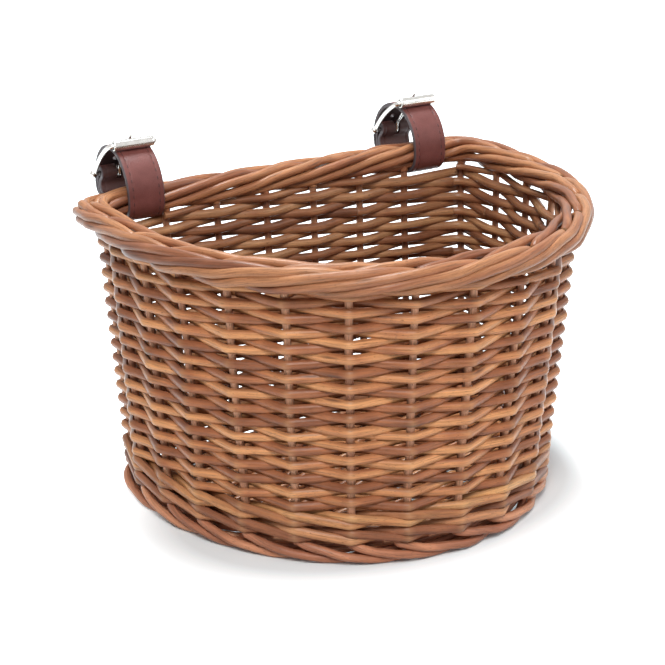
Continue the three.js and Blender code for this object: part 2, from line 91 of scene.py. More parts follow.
# A rod: rings on an ellipse across the path, between the hint's side and the hint, and a small bevel at both ends.
# The rings carry their place along and across the rod, the rod's own tone, the cut mask and a value for rubbing plus a
# painted highlight.
def sweep(centres, hints, wide, high, sides, tone=0.5, rubAndHighlight=None, startCut=True):
    centres = np.asarray(centres, float)
    count = len(centres)
    wide, high = (np.broadcast_to(np.asarray(size, float), (count,)) for size in (wide, high))
    rubAndHighlight = np.zeros(count) if rubAndHighlight is None else np.asarray(rubAndHighlight, float)
    hints = np.broadcast_to(hints, (count, 3))
    along = unit(np.gradient(centres, axis=0))
    edge = rodEnd["bevel"] * min(wide[0], high[0])
    centres = np.concatenate([centres[:1] - along[:1] * edge, centres, centres[-1:] + along[-1:] * edge])
    # each end ring repeats its neighbour, a little narrower
    along, hints, rubAndHighlight, wide, high = (np.concatenate([row[:1], row, row[-1:]])
                                      for row in (along, hints, rubAndHighlight, wide, high))
    wide[[0, -1]] *= rodEnd["narrow"]
    high[[0, -1]] *= rodEnd["narrow"]
    rows = count + 2
    cut = np.zeros(rows)
    cut[0], cut[-1] = float(startCut), 1.0
    side = unit(np.cross(along, hints))
    lift = np.cross(side, along)
    angle = fullTurn * np.arange(sides) / sides
    across = np.cos(angle)[None] * wide[:, None]
    upward = np.sin(angle)[None] * high[:, None]
    points = (centres[:, None] + (side[:, None] * across[..., None] + lift[:, None] * upward[..., None])).reshape(-1, 3)
    run = runOf(centres) + 1000 * tone
    place = np.stack([np.repeat(run, sides), across.ravel(), upward.ravel()], 1)
    mark = np.stack([np.full(len(points), tone), np.repeat(cut, sides), np.repeat(rubAndHighlight, sides)], 1)
    points = np.concatenate([points, centres[:1], centres[-1:]])
    place = np.concatenate([place, [[run[0], 0, 0], [run[-1], 0, 0]]])
    mark = np.concatenate([mark, [[tone, cut[0], rubAndHighlight[0]], [tone, cut[-1], rubAndHighlight[-1]]]])
    # a fan closes each end
    j = np.arange(sides)
    k = (j + 1) % sides
    lastRow = (rows - 1) * sides
    startFan = np.stack([np.full(sides, rows * sides), j, k], 1)
    endFan = np.stack([np.full(sides, rows * sides + 1), lastRow + k, lastRow + j], 1)
    fans = np.concatenate([startFan, endFan])
    return dict(points=points, quads=ringQuads(rows, sides), tris=fans, place=place, mark=mark)


# A closed hoop: the same rings with the last joined to the first.
def hoop(centres, hints, wide, high, sides, tone=0.5):
    centres = np.asarray(centres, float)
    along = unit(np.roll(centres, -1, 0) - np.roll(centres, 1, 0))
    side = unit(np.cross(along, np.broadcast_to(hints, centres.shape)))
    lift = np.cross(side, along)
    angle = fullTurn * np.arange(sides) / sides
    points = (centres[:, None] + side[:, None] * np.cos(angle)[None, :, None] * wide
              + lift[:, None] * np.sin(angle)[None, :, None] * high).reshape(-1, 3)
    return dict(points=points, quads=ringQuads(len(centres), sides, True), tris=noTris, place=points * 1.0,
                mark=np.tile([tone, 0, 0], (len(points), 1)))


def bundle(parts):
    joined = {}
    starts = np.cumsum([0] + [len(part["points"]) for part in parts])
    for key in ("points", "place", "mark"):
        joined[key] = np.concatenate([part[key] for part in parts])
    for key in ("quads", "tris"):
        joined[key] = np.concatenate([part[key] + start for part, start in zip(parts, starts)])
    return joined


# One visible piece from its parts: it rides a body and stands for the named nodes.
def addPiece(name, parts, material, body, nodes, sharpAngle=50):
    shape = bundle(parts)
    points, quads, tris = shape["points"] + shift, shape["quads"].astype(np.int32), shape["tris"].astype(np.int32)
    mesh = bpy.data.meshes.new(name)
    mesh.vertices.add(len(points))
    mesh.vertices.foreach_set("co", (points * toMetres).astype(np.float32).ravel())
    corners = np.concatenate([quads.ravel(), tris.ravel()])
    mesh.loops.add(len(corners))
    mesh.loops.foreach_set("vertex_index", corners)
    mesh.polygons.add(len(quads) + len(tris))
    starts = np.concatenate([4 * np.arange(len(quads)), 4 * len(quads) + 3 * np.arange(len(tris))])
    mesh.polygons.foreach_set("loop_start", starts.astype(np.int32))
    mesh.update(calc_edges=True)
    mesh.validate()
    for key, scale in (("place", toMetres), ("mark", 1)):
        layer = mesh.attributes.new(key, "FLOAT_VECTOR", "POINT")
        layer.data.foreach_set("vector", (shape[key] * scale).astype(np.float32).ravel())
    mesh.shade_smooth()
    mesh.set_sharp_from_angle(angle=math.radians(sharpAngle))
    mesh.materials.append(material)
    piece = bpy.data.objects.new(name, mesh)
    bpy.context.scene.collection.objects.link(piece)
    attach(piece, body)
    if nodes:
        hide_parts(*nodes)


def numbered(name, count):
    return [name + str(i + 1) for i in range(count)]


# Shader groups and materials

# A value that is a socket is linked, any other is set on the node's own socket.
def fill(tree, node, inputs):
    for key, value in inputs.items():
        if isinstance(value, bpy.types.NodeSocket):
            tree.links.new(value, node.inputs[key])
        else:
            node.inputs[key].default_value = value


def addNode(tree, kind, inputs=None, **settings):
    node = tree.nodes.new(kind)
    for key, value in settings.items():
        setattr(node, key, value)
    fill(tree, node, inputs or {})
    return node


def newGroup(name, inputs, outputs):
    tree = bpy.data.node_groups.new(name, "ShaderNodeTree")
    for label, kind, value in inputs:
        socket = tree.interface.new_socket(name=label, in_out="INPUT", socket_type=kind)
        socket.default_value = value
    for label, kind in outputs:
        tree.interface.new_socket(name=label, in_out="OUTPUT", socket_type=kind)
    return tree, tree.nodes.new("NodeGroupInput"), tree.nodes.new("NodeGroupOutput")


def ramp(tree, value, stops):
    node = addNode(tree, "ShaderNodeValToRGB", {"Fac": value})
    elements = node.color_ramp.elements
    while len(elements) < len(stops):
        elements.new(0.5)
    for element, (position, color) in zip(elements, stops):
        element.position = position
        element.color = (*color, 1) if isinstance(color, tuple) else (color, color, color, 1)
    return node.outputs["Color"]


def math2(tree, operation, a, b=0.0):
    return addNode(tree, "ShaderNodeMath", {0: a, 1: b}, operation=operation).outputs[0]


def mixColor(tree, share, a, b, blend="MIX"):
    return addNode(tree, "ShaderNodeMix", {0: share, 6: a, 7: b}, data_type="RGBA", blend_type=blend).outputs[2]


def noise(tree, vector, scale, detail, **more):
    values = {"Vector": vector, "Scale": scale, "Detail": detail, **more}
    return addNode(tree, "ShaderNodeTexNoise", values).outputs["Fac"]


def scaled(tree, vector, factors):
    return addNode(tree, "ShaderNodeVectorMath", {0: vector, 1: factors}, operation="MULTIPLY").outputs[0]


def attribute(tree, name):
    return addNode(tree, "ShaderNodeAttribute", attribute_name=name).outputs["Vector"]


def split(tree, vector):
    return addNode(tree, "ShaderNodeSeparateXYZ", {0: vector}).outputs


def toRange(tree, value, low, high, start=0.0, end=1.0):
    return addNode(tree, "ShaderNodeMapRange", {"Value": value, "From Min": start, "From Max": end, "To Min": low,
                                                "To Max": high}).outputs["Result"]


def newMaterial(name):
    material = bpy.data.materials.new(name)
    material.use_nodes = True
    tree = material.node_tree
    return material, tree, tree.nodes["Principled BSDF"]


# The shader's inputs, with a bump from a height.
def dress(tree, shader, strength, distance, height, inputs):
    bump = addNode(tree, "ShaderNodeBump", {"Strength": strength, "Distance": distance, "Height": height})
    fill(tree, shader, {**inputs, "Normal": bump.outputs["Normal"]})


# Peeled, boiled willow: long streaks in the rod's own space, slow blotches, dark knots, flecks and pale cut ends, with
# painted light: a highlight on the rubbed kinks and painted shade along the rods' sides and inner faces.
def makeWillowGroup():
    color = "NodeSocketColor"
    number = "NodeSocketFloat"
    tree, given, result = newGroup(
        "willowSkin",
        [("Pale", color, (0.7, 0.4, 0.2, 1)), ("Warm", color, (0.5, 0.23, 0.1, 1)),
         ("Deep", color, (0.25, 0.1, 0.04, 1)),
         ("Tone Range", number, 0.5), ("Knots", number, 1.0), ("Gloss", number, 0.45), ("Edge Shade", number, 0.5),
         ("Inner Shade", number, 0.5), ("Inner Shade Tint", color, (0.55, 0.74, 1.0, 1))],
        [("Color", color), ("Roughness", number), ("Height", number)])
    out = given.outputs
    place = attribute(tree, "place")
    marks = split(tree, attribute(tree, "mark"))

    def calc(operation, a, b=0.0):
        return math2(tree, operation, a, b)

    def mix(share, a, b, blend="MIX"):
        return mixColor(tree, share, a, b, blend)

    streak = noise(tree, scaled(tree, place, (70, 1300, 1300)), 1.0, 4.0, Roughness=0.6)
    blotch = noise(tree, scaled(tree, place, (34, 150, 150)), 1.0, 3.0)
    fleck = noise(tree, scaled(tree, place, (420, 2600, 2600)), 1.0, 2.0)
    knotPlace = scaled(tree, place, (30, 210, 210))
    knot = addNode(tree, "ShaderNodeTexVoronoi", {"Vector": knotPlace, "Scale": 1.0}).outputs["Distance"]
    # tone plus slow blotches choose between the three colours
    spread = calc("MULTIPLY", calc("SUBTRACT", marks["X"], 0.5), out["Tone Range"])
    level = calc("ADD", calc("ADD", blotch, spread), calc("MULTIPLY", streak, 0.25))
    toWarm = ramp(tree, level, [(0.38, 0.0), (0.72, 1.0)])
    toDeep = ramp(tree, level, [(0.66, 0.0), (1.0, 0.9)])
    body = mix(toDeep, mix(toWarm, out["Pale"], out["Warm"]), out["Deep"])
    body = mix(1.0, body, ramp(tree, streak, [(0.32, 0.55), (0.58, 1.0)]), "MULTIPLY")
    knotMask = calc("MULTIPLY", ramp(tree, knot, [(0.06, 1.0), (0.19, 0.0)]), out["Knots"])
    body = mix(calc("MULTIPLY", knotMask, 0.8), body, (0.07, 0.03, 0.015, 1))
    body = mix(ramp(tree, fleck, [(0.62, 0.0), (0.7, 0.65)]), body, (0.12, 0.055, 0.025, 1))
    # rubbed kinks on the outside of the stakes, lightened partly for real rubbing and partly as a painted highlight
    rubbedAndShadedBody = mix(calc("MULTIPLY", marks["Z"], 0.16), body, (0.8, 0.5, 0.26, 1))
    # painted shade: a woven rod is darker along its sides, where its neighbours touch and shade it, and darker and
    # greyer on the side that faces inward, for the dimmer light inside the basket
    across = split(tree, place)
    reach = calc("SQRT", calc("ADD", calc("POWER", across["Y"], 2.0), calc("POWER", across["Z"], 2.0)))
    reach = calc("MAXIMUM", reach, 0.0001)
    sideways = calc("DIVIDE", calc("ABSOLUTE", across["Y"]), reach)
    edge = calc("MULTIPLY", ramp(tree, sideways, [(0.55, 0.0), (1.0, 1.0)]), out["Edge Shade"])
    rubbedAndShadedBody = mix(edge, rubbedAndShadedBody, out["Deep"])
    facing = toRange(tree, calc("DIVIDE", across["Z"], reach), 1.0, 0.0, -0.5, 0.1)
    dim = mix(calc("MULTIPLY", facing, out["Inner Shade"]), (1, 1, 1, 1), out["Inner Shade Tint"])
    rubbedAndShadedBody = mix(1.0, rubbedAndShadedBody, dim, "MULTIPLY")
    pith = mix(ramp(tree, blotch, [(0.35, 0.0), (0.7, 1.0)]), (0.4, 0.24, 0.13, 1), (0.15, 0.09, 0.06, 1))
    rough = calc("ADD", out["Gloss"], calc("MULTIPLY", calc("SUBTRACT", streak, 0.5), 0.3))
    relief = calc("ADD", calc("MULTIPLY", streak, 0.5), calc("MULTIPLY", blotch, 0.9))
    fill(tree, result, {"Color": mix(marks["Y"], rubbedAndShadedBody, pith),
                        "Roughness": calc("ADD", rough, calc("MULTIPLY", marks["Y"], 0.3)),
                        "Height": calc("SUBTRACT", relief, calc("MULTIPLY", knotMask, 0.35))})
    return tree


willowGroup = makeWillowGroup()


def willowMaterial(name, pale, warm, deep, toneRange, knots, gloss, edge=0.0, inner=0.0, innerShadeTint=(0.55, 0.74, 1.0)):
    material, tree, shader = newMaterial(name)
    skin = addNode(tree, "ShaderNodeGroup", {}, node_tree=willowGroup)
    fill(tree, skin, {"Pale": (*pale, 1), "Warm": (*warm, 1), "Deep": (*deep, 1), "Tone Range": toneRange,
                      "Knots": knots, "Gloss": gloss, "Edge Shade": edge, "Inner Shade": inner,
                      "Inner Shade Tint": (*innerShadeTint, 1)})
    dress(tree, shader, 0.55, 0.0004, skin.outputs["Height"],
          {"Base Color": skin.outputs["Color"], "Roughness": skin.outputs["Roughness"], "Specular IOR Level": 0.25})
    return material


# Pale, warm and deep colour, then tone range, knots, gloss, edge shade, inner shade and the inner shade's tint; the
# last three are painted shade.
willowValues = dict(
    siding=((0.69, 0.315, 0.131), (0.445, 0.162, 0.067), (0.19, 0.061, 0.027), 0.5, 1.0, 0.33, 0.55, 0.55),
    border=((0.45, 0.198, 0.092), (0.32, 0.118, 0.056), (0.16, 0.055, 0.029), 0.55, 0.8, 0.36),
    stake=((0.85, 0.45, 0.27), (0.62, 0.29, 0.17), (0.36, 0.15, 0.09), 0.5, 0.5, 0.45, 0.0, 0.8, (0.34, 0.28, 0.24)),
    wale=((0.72, 0.365, 0.15), (0.49, 0.198, 0.08), (0.235, 0.086, 0.038), 0.6, 0.6, 0.35, 0.5, 0.55),
    waleLow=((0.6, 0.27, 0.122), (0.43, 0.16, 0.071), (0.2, 0.07, 0.034), 0.6, 0.6, 0.35, 0.5, 0.55),
    foot=((0.78, 0.37, 0.205), (0.57, 0.235, 0.127), (0.32, 0.117, 0.065), 0.6, 0.8, 0.37, 0.3))
willowLook = {label: willowMaterial(label + "Willow", *values) for label, values in willowValues.items()}


# The walls' outlines, worked out as in the frame

# A D seen from above, counter-clockwise from the middle of its right back corner:
# quarter circles at the back corners, straight sides and half an ellipse in front.
def dOutline(width, depth, side, corner, back):
    half = width / 2

    def arc(x, y, across, deep, start, end, steps):
        angle = np.linspace(start, end, steps)
        return np.stack([x + across * np.cos(angle), y + deep * np.sin(angle)], 1)

    points = np.concatenate([
        arc(half - corner, back - corner, corner, corner, math.pi / 4, math.pi / 2, 60),
        arc(corner - half, back - corner, corner, corner, math.pi / 2, math.pi, 120),
        arc(0, back - side, half, depth - side, math.pi, fullTurn, 1800),
        arc(half - corner, back - corner, corner, corner, 0, math.pi / 4, 60)])
    run = runOf(points)
    backLength = width - 2 * corner + math.pi / 2 * corner
    return dict(points=points, run=run, total=run[-1], backShare=backLength / run[-1])


wall = dict(stakes=23, backBays=7, strapBay=0.169, rimHeight=152.0)
rim = dOutline(233, 187, 58, 17, 0)
foot = dOutline(217, 156, 27, 17, -12)
stakeTops = dOutline(227, 181, 55, 14, -3)


# A bay's place as a share of the outline: the back's two outer bays are the straps'.
def shareOf(outline, bay):
    place = np.mod(bay, wall["stakes"])
    backBays = wall["backBays"]
    inner = np.clip(place - 1, 0, backBays - 2) * (1 - 2 * wall["strapBay"]) / (backBays - 2)
    outer = (np.minimum(place, 1) + np.maximum(place - backBays + 1, 0)) * wall["strapBay"]
    front = outline["backShare"] + (place - backBays) / (wall["stakes"] - backBays) * (1 - outline["backShare"])
    return np.where(place >= backBays, front, outline["backShare"] * (inner + outer))


def pointOn(outline, share, height):
    run = np.mod(share, 1) * outline["total"]
    flat = rowsAt(run, outline["run"], outline["points"])
    return np.concatenate([flat, np.broadcast_to(height, np.shape(share))[..., None]], -1)


def outwardOn(outline, share):
    step = 0.0025
    way = unit(pointOn(outline, share + step, 0) - pointOn(outline, share - step, 0))
    return np.stack([way[..., 1], -way[..., 0], np.zeros(np.shape(share))], -1)


# A point on a stake's axis: the foot's outline mixed with the stake tops' by height.
def wallPoint(bay, height):
    low = pointOn(foot, shareOf(foot, bay), 0)
    high = pointOn(stakeTops, shareOf(stakeTops, bay), wall["rimHeight"])
    share = np.asarray(height / wall["rimHeight"])[..., None]
    return low * (1 - share) + high * share


# A slow wobble: three sines with seeded phases.
def wobble(values, size, seed):
    phase = np.random.default_rng(seed).uniform(0, fullTurn, 3)
    return size * (np.sin(values * 0.9 + phase[0]) + 0.6 * np.sin(values * 2.3 + phase[1])
                   + 0.4 * np.sin(values * 5.1 + phase[2]))


# Stakes

stakeLook = dict(low=9.0, top=144.0, lowThick=4.3, highThick=3.8, steps=40, sides=10, lowAt=12, rise=133)


def stakeThick(height):
    share = (np.asarray(height) - stakeLook["lowAt"]) / stakeLook["rise"]
    return stakeLook["lowThick"] + (stakeLook["highThick"] - stakeLook["lowThick"]) * share


def stakeAxis(bay, height):
    return wallPoint(np.asarray(bay, float) + wobble(np.asarray(height) * 0.03, 0.008, 7 + int(bay)), height)


def makeStakes():
    parts = []
    for bay in range(wall["stakes"]):
        height = np.linspace(stakeLook["low"], stakeLook["top"], stakeLook["steps"])
        centres = stakeAxis(bay, height)
        outward = outwardOn(stakeTops, shareOf(stakeTops, float(bay)))
        radius = stakeThick(height) / 2 + wobble(height * 0.05, 0.06, 90 + bay)
        parts.append(sweep(centres, outward, radius, radius, stakeLook["sides"], rng.uniform()))
    addPiece("stakeRods", parts, willowLook["stake"], "basket", numbered("stake_", wall["stakes"]))
    print("stakes:", len(parts))


# Woven rods

# A rod that is bent at each stake, outside or inside it, and runs straight between. The bends are rounded by
# averaging the straight path over a window: short where the rod kinks over a stake, longer where it lies inside.
weaveLook = dict(pitch=3.8, start=13.55, sidingStart=92, sidingSteps=110, thick=4.1, high=4.75, squeeze=0.6, sharp=0.04,
                 soft=0.12, rodBays=13, topRow=142.2, topHigh=4.2, waleThick=4.2, waleHigh=5.0, rodGap=0.004,
                 spread=([0, 1, 6, 7, 14, 17, 23], [3.0, 2.9, 2.1, 2.0, 0, 0, 3.0]))
bendSamples = np.array([-0.36, -0.22, -0.12, -0.06, -0.03, 0.0, 0.03, 0.06, 0.12, 0.22, 0.36, 0.5])


def wovenRod(first, last, sideOf, heightOf, thick, high, seed, tone, sides=8):
    bays = np.arange(math.floor(first) - 2, math.ceil(last) + 3)
    heights = heightOf(bays.astype(float))
    outward = outwardOn(stakeTops, shareOf(stakeTops, bays.astype(float)))
    sign = sideOf(bays)
    reach = np.where(sign > 0, weaveLook["sharp"], weaveLook["soft"])
    clear = (stakeThick(heights) / 2 + thick / 2 - weaveLook["squeeze"]) * (1 + reach)
    bends = wallPoint(bays.astype(float), heights) + outward * (sign * clear)[:, None]
    stops = np.unique(np.concatenate([(bays[:, None] + bendSamples[None]).ravel(), [first, last]]))
    stops = stops[(stops >= first) & (stops <= last)]
    window = np.where(sideOf(np.round(stops)) > 0, weaveLook["sharp"], weaveLook["soft"])
    spots = stops[:, None] + window[:, None] * np.linspace(-1, 1, 7)[None]
    centres = np.stack([np.interp(spots, bays, column).mean(1) for column in bends.T], -1)
    centres[:, 2] += wobble(stops, 0.16, seed)
    drift = (stops - first) / max(last - first, 1)
    taper = rng.uniform(1.0, 1.1) - 0.13 * drift + wobble(stops * 1.7, 0.014, seed + 5)
    nearest = np.abs(stops - np.round(stops))
    onOutside = np.interp(stops, bays, sign) > 0
    # the kinks over the stakes' outsides are rubbed and carry a painted highlight
    rubAndHighlight = np.clip(1 - nearest / 0.09, 0, 1) * onOutside
    hints = outwardOn(stakeTops, shareOf(stakeTops, stops))
    # fuller where the rows are spread, so that they still cover the wall
    fuller = 1 + 0.05 * (rowHeight(stops) - weaveLook["start"] - weaveLook["pitch"] * stops / wall["stakes"])
    return sweep(centres, hints, high / 2 * taper * fuller, thick / 2 * taper, sides, tone, rubAndHighlight)


def inAndOut(bays):
    return np.where(np.mod(bays, 2) == 0, 1.0, -1.0)


# The spiral climbs one pitch a round. Along the back its last rows are spread upward to meet the border.
def rowHeight(bays):
    height = weaveLook["start"] + weaveLook["pitch"] * bays / wall["stakes"]
    spread = np.interp(np.mod(bays, wall["stakes"]), *weaveLook["spread"])
    return height + spread * np.clip((height - 112) / 24, 0, 1)


# A long spiral is laid from shorter rods. Each ends just past a stake that it passes inside.
def rodRuns(first, last, sideOf, typical):
    runs = []
    start = float(first)
    while start < last:
        end = math.floor(start + typical + rng.integers(-4, 5))
        while sideOf(np.array([end]))[0] > 0:
            end += 1
        end = end + 0.12 if end < last - 4 else float(last)
        runs.append((start + weaveLook["rodGap"], end - weaveLook["rodGap"]))
        start = end
    return runs


# A three-rod wale: each rod passes outside two stakes, high on the first and low on the second, and inside the third.
def makeWale():
    for i in range(2):
        parts = []
        for strand in range(3):
            side = lambda bays: np.where(np.mod(bays - strand, 3) == 0, -1.0, 1.0)
            level = lambda bays: (weaveLook["start"] + weaveLook["pitch"] * (1 + bays / wall["stakes"] / 4)
                                  * (2 * i + 0.5 + 0.5 * np.array([0, 1, -1])[np.mod(bays - strand, 3).astype(int)]))
            for first, last in rodRuns(strand + 0.05, wall["stakes"] + strand + 0.95, side, 12):
                parts.append(wovenRod(first, last, side, level, weaveLook["waleThick"], weaveLook["waleHigh"],
                                      int(first) + 40 * strand + i, rng.uniform()))
        addPiece("waleRods" + str(i + 1), parts, willowLook["waleLow" if i == 0 else "wale"], "basket",
                 ["bottom_wale_" + str(i + 1)])


def makeWeave():
    thick, high, steps = weaveLook["thick"], weaveLook["high"], weaveLook["sidingSteps"]
    edges = weaveLook["sidingStart"] + steps * np.arange(7) + np.array([0, 1.1, 1.1, 1.1, 1.1, 1.1, 0])
    for i in range(6):
        parts = [wovenRod(first, last, inAndOut, rowHeight, thick, high, int(first), rng.uniform())
                 for first, last in rodRuns(edges[i], edges[i + 1], inAndOut, weaveLook["rodBays"])]
        addPiece("sidingRods" + str(i + 1), parts, willowLook["siding"], "basket",
                 ["siding_weaver_" + str(i + 1)])
    # the top row passes each stake on the side that the spiral below it doesn't
    end = weaveLook["sidingStart"] + 6 * steps
    otherSide = lambda bays: -inAndOut(end - np.mod(end - bays, wall["stakes"]))
    level = lambda bays: np.full(np.shape(bays), weaveLook["topRow"])
    backBays = wall["backBays"]
    frontParts = [wovenRod(first, last, otherSide, level, thick, weaveLook["topHigh"], int(first) + 3, rng.uniform())
                  for first, last in rodRuns(backBays - 0.06, wall["stakes"] + 0.06, otherSide, 9)]
    addPiece("topRowFront", frontParts, willowLook["siding"], "basket", ["top_row_front"])
    backPart = wovenRod(0.94, backBays - 0.94, otherSide, level, thick, weaveLook["topHigh"], 77, 0.6)
    addPiece("topRowBack", [backPart], willowLook["siding"], "basket", ["top_row_back"])
    print("woven rods done")


# Top border

# Each stake's end comes up, bends over clockwise, sinks along the outer face for three bays, goes in under
# the border and climbs the inner face for three more, until its tip tucks under a stake's bend.
# Columns: bays from its own stake, outward, upward from the border's centre line.
topBorder = dict(
    path=[(-0.12, 1.2, 1.4), (-0.5, 3.4, 3.0), (-1.0, 5.0, 2.4), (-1.5, 6.0, 0.8), (-2.0, 6.4, -1.2), (-2.5, 6.2, -3.1),
          (-2.9, 5.0, -5.0), (-3.25, 2.2, -6.4), (-3.6, -1.6, -6.5), (-4.1, -4.6, -4.9), (-4.7, -6.2, -2.4),
          (-5.2, -6.5, 0.4), (-5.8, -5.2, 2.8), (-6.2, -3.3, 3.7), (-6.55, -1.2, 3.6), (-6.8, 0.4, 2.7),
          (-6.97, 1.4, 1.4)],
    stem=[143.0, 147.0, 150.6], perSpan=5, buttThick=5.0, tipThick=4.6, sides=12,
    leaves=7.5, shoot=0.93, overshoot={8: 12, 9: 17, 10: 15})


def makeTopBorder():
    parts = []
    for bay in range(wall["stakes"]):
        control = np.array(topBorder["path"])
        control[1:] += rng.normal(0, 0.24, control[1:].shape) * np.array([0.08, 1, 1])
        share = shareOf(rim, bay + control[:, 0])
        outward = outwardOn(rim, share)
        laid = pointOn(rim, share, wall["rimHeight"]) + outward * control[:, 1:2] + up * control[:, 2:3]
        height = np.array(topBorder["stem"])
        stem = wallPoint(np.full(3, float(bay)), height) + outward[0] * np.array([0.0, 0.3, 1.6])[:, None]
        centres = throughPoints(np.concatenate([stem, laid]), topBorder["perSpan"])
        run = np.linspace(0, 1, len(centres))
        radius = (topBorder["buttThick"] + (topBorder["tipThick"] - topBorder["buttThick"]) * run) / 2
        radius = radius * (1 + wobble(run * 9, 0.012, 300 + bay))
        controlBays = np.concatenate([[0, 0, 0], control[:, 0]])
        place = bay + np.interp(run, np.linspace(0, 1, len(controlBays)), controlBays)
        hints = centres - pointOn(rim, shareOf(rim, place), wall["rimHeight"]) + up * 0.5 + 0.001
        tone = rng.uniform()
        parts.append(sweep(centres, unit(hints), radius, radius, topBorder["sides"], tone, startCut=False))
        # at the left back corner some rods' side shoots run straight on past the turn and are cut off there
        if bay in topBorder["overshoot"]:
            last = int(np.argmin(np.abs(place - topBorder["leaves"])))
            onward = unit(centres[last] - centres[last - 1]) * np.array([3, 6, 9, topBorder["overshoot"][bay]])[:, None]
            tip = np.concatenate([centres[last - 4:last + 1], centres[last] + onward])
            thin = radius[0] * topBorder["shoot"]
            parts.append(sweep(tip, outward[0], thin, thin, topBorder["sides"], tone + 0.05, startCut=False))
    addPiece("topBorderRods", parts, willowLook["border"], "basket", numbered("top_border_", 4))
    print("top border:", len(parts))


# Foot border

# Each rod comes out below the wale beside a stake, bends over counter-clockwise in a shoulder,
# runs down the outer face to the ground, goes under and rises inside. Columns: bays, outward, height.
footBorder = dict(
    path=[(-0.02, -3.4, 12.0), (-0.02, -0.8, 11.3), (0.02, 1.8, 10.4), (0.18, 3.2, 9.0), (0.5, 3.8, 6.8),
          (0.9, 3.9, 4.8),
          (1.35, 3.0, 3.0), (1.8, 0.8, 2.3), (2.3, -2.2, 3.0), (3.0, -3.7, 5.2), (3.8, -3.9, 8.0), (4.6, -3.5, 10.4)],
    perSpan=5, thick=4.5, tipThick=4.1, slip=0.12, sides=10)


def makeFootBorder():
    parts = []
    for bay in range(wall["stakes"]):
        control = np.array(footBorder["path"])
        control += rng.normal(0, 0.2, control.shape) * np.array([0.1, 1, 1])
        path = throughPoints(control, footBorder["perSpan"])
        path[:, 0] += rng.uniform(-2, 1) * footBorder["slip"]
        share = shareOf(foot, bay + path[:, 0])
        outward = outwardOn(foot, share)
        centres = pointOn(foot, share, 0) + outward * path[:, 1:2] + up * path[:, 2:3]
        radius = np.linspace(footBorder["thick"], footBorder["tipThick"], len(path)) / 2
        radius = radius * (1 + wobble(path[:, 0] * 4, 0.015, 500 + bay))
        centres[:, 2] = np.maximum(centres[:, 2], radius + 0.02)
        hints = unit(outward * (path[:, 1:2] + 1) + up * (path[:, 2:3] - 5.5)) + 0.001
        parts.append(sweep(centres, hints, radius, radius, footBorder["sides"], rng.uniform(), startCut=False))
    addPiece("footBorderRods", parts, willowLook["foot"], "basket", numbered("foot_border_", 4))
    print("foot border:", len(parts))


# Base

# One rod laid to and fro, over one stick and under the next, inside the base's outline:
# round corners at the back, straight sides and half an ellipse in front.
baseLook = dict(middle=6.37, back=-18.1, half=102.4, corner=10.9, ovalStart=-39.0, front=122.9, sticks=5,
                stickPitch=34.0, stickThick=4.4, stickRoom=14.0, stickInset=2.2, rodThick=3.0, rodHigh=3.5,
                rowPitch=3.8, rowHalf=1.7, turn=1.9, lift=3.72, crossing=3.2,
                edgeHeight=9.3, edgeOut=0.8, edgeRadius=1.8)


def baseReach(y):
    back, half, corner = baseLook["back"], baseLook["half"], baseLook["corner"]
    fromCorner = np.maximum(y - (back - corner), 0)
    square = half - corner + math.sqrt(corner ** 2 - fromCorner ** 2)
    fromOval = max(baseLook["ovalStart"] - y, 0) / baseLook["front"]
    return min(square, half * math.sqrt(max(1 - fromOval ** 2, 0)))


def stickFront(x):
    share = (abs(x) + baseLook["stickRoom"]) / baseLook["half"]
    return baseLook["ovalStart"] - baseLook["front"] * math.sqrt(1 - share ** 2)


def makeBase():
    sticks = (np.arange(baseLook["sticks"]) - (baseLook["sticks"] - 1) / 2) * baseLook["stickPitch"]
    rowHalf, pitch, turn = baseLook["rowHalf"], baseLook["rowPitch"], baseLook["turn"]
    rows = []
    y = baseLook["back"] - rowHalf
    while baseReach(y - rowHalf) > baseLook["stickRoom"]:
        rows.append(y)
        y -= pitch
    path = []
    way = 1
    for index, y in enumerate(rows):
        reach = min(baseReach(y + rowHalf), baseReach(y - rowHalf))
        before = min(reach, baseReach(rows[index - 1] + rowHalf)) if index else reach
        after = min(reach, baseReach(y - pitch - rowHalf)) if index < len(rows) - 1 else reach
        start, end = (side * (room - turn - rowHalf) for side, room in ((-way, before), (way, after)))
        path.append((start, y, baseLook["middle"]))
        for i in (range(len(sticks)) if way > 0 else reversed(range(len(sticks)))):
            if y + rowHalf > stickFront(sticks[i]):
                over = 1 if (index + i) % 2 == 0 else -1
                for step in (-baseLook["crossing"], baseLook["crossing"]):
                    path.append((sticks[i] + way * step, y, baseLook["middle"] + over * baseLook["lift"]))
        path.append((end, y, baseLook["middle"]))
        if index < len(rows) - 1:
            for angle in np.radians([45, 90, 135]):
                path.append((end + way * turn * math.sin(angle), y - turn + turn * math.cos(angle), baseLook["middle"]))
        way = -way
    rod = sweep(throughPoints(path, 4), up, baseLook["rodHigh"] / 2, baseLook["rodThick"] / 2, 8, 0.5)
    # a rod laid round the edge closes the joint with the wall
    out, radius = baseLook["edgeOut"], baseLook["edgeRadius"]
    side = baseLook["back"] - baseLook["ovalStart"] + out
    edge = dOutline(2 * (baseLook["half"] + out), side + baseLook["front"] + out, side, baseLook["corner"] + out,
                    baseLook["back"] + out)
    share = np.arange(260) / 260
    edgeRod = hoop(pointOn(edge, share, baseLook["edgeHeight"]), outwardOn(edge, share), radius, radius, 8, 0.55)
    addPiece("baseRods", [rod, edgeRod], willowLook["siding"], "basket", ["base_weave"])
    parts = []
    for x in sticks:
        ys = np.linspace(stickFront(x), baseLook["back"] - baseLook["stickInset"], 40)
        centres = np.stack([np.full(40, x), ys, np.full(40, baseLook["middle"])], 1)
        radius = baseLook["stickThick"] / 2 + wobble(ys * 0.05, 0.04, int(x) + 200)
        parts.append(sweep(centres, up, radius, radius, 10, rng.uniform()))
    addPiece("baseSticks", parts, willowLook["stake"], "basket", numbered("base_stick_", len(sticks)))
    print("base rows:", len(rows))


# Straps

